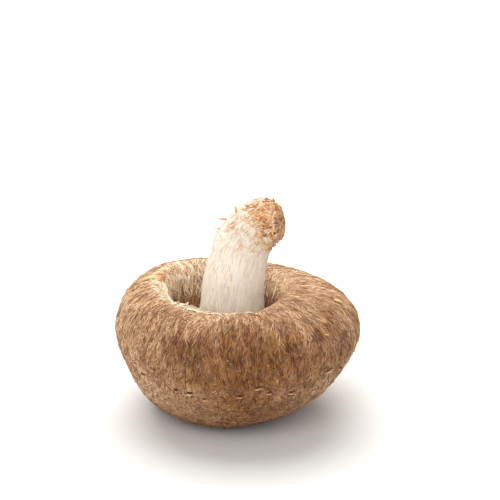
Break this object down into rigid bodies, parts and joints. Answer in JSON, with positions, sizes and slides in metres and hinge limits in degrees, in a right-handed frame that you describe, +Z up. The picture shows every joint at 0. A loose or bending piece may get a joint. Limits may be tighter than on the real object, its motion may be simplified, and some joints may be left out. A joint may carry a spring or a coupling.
{
  "type": "shiitake mushroom",
  "caption": "Fresh edible mushroom standing on the crown of its thick rolled-rim cap, gills up, with a bent stem that ends in a cut foot.",
  "frame": {"origin": "on the surface that the crown rests on, at the middle of the whole mushroom's outline seen from above", "axes": "+Z up, from the crown of the upturned cap to the gills and the stem; +X the way the cut foot faces; +Y the back"},
  "size_m": [0.0608, 0.06, 0.0553],
  "materials": {
    "cap_skin": "matte",
    "gill_flesh": "matte",
    "stem_flesh": "matte"
  },
  "bodies": {
    "root": {"cap": "cap_skin", "gills": "gill_flesh", "stem": "stem_flesh"}
  },
  "joints": []
}
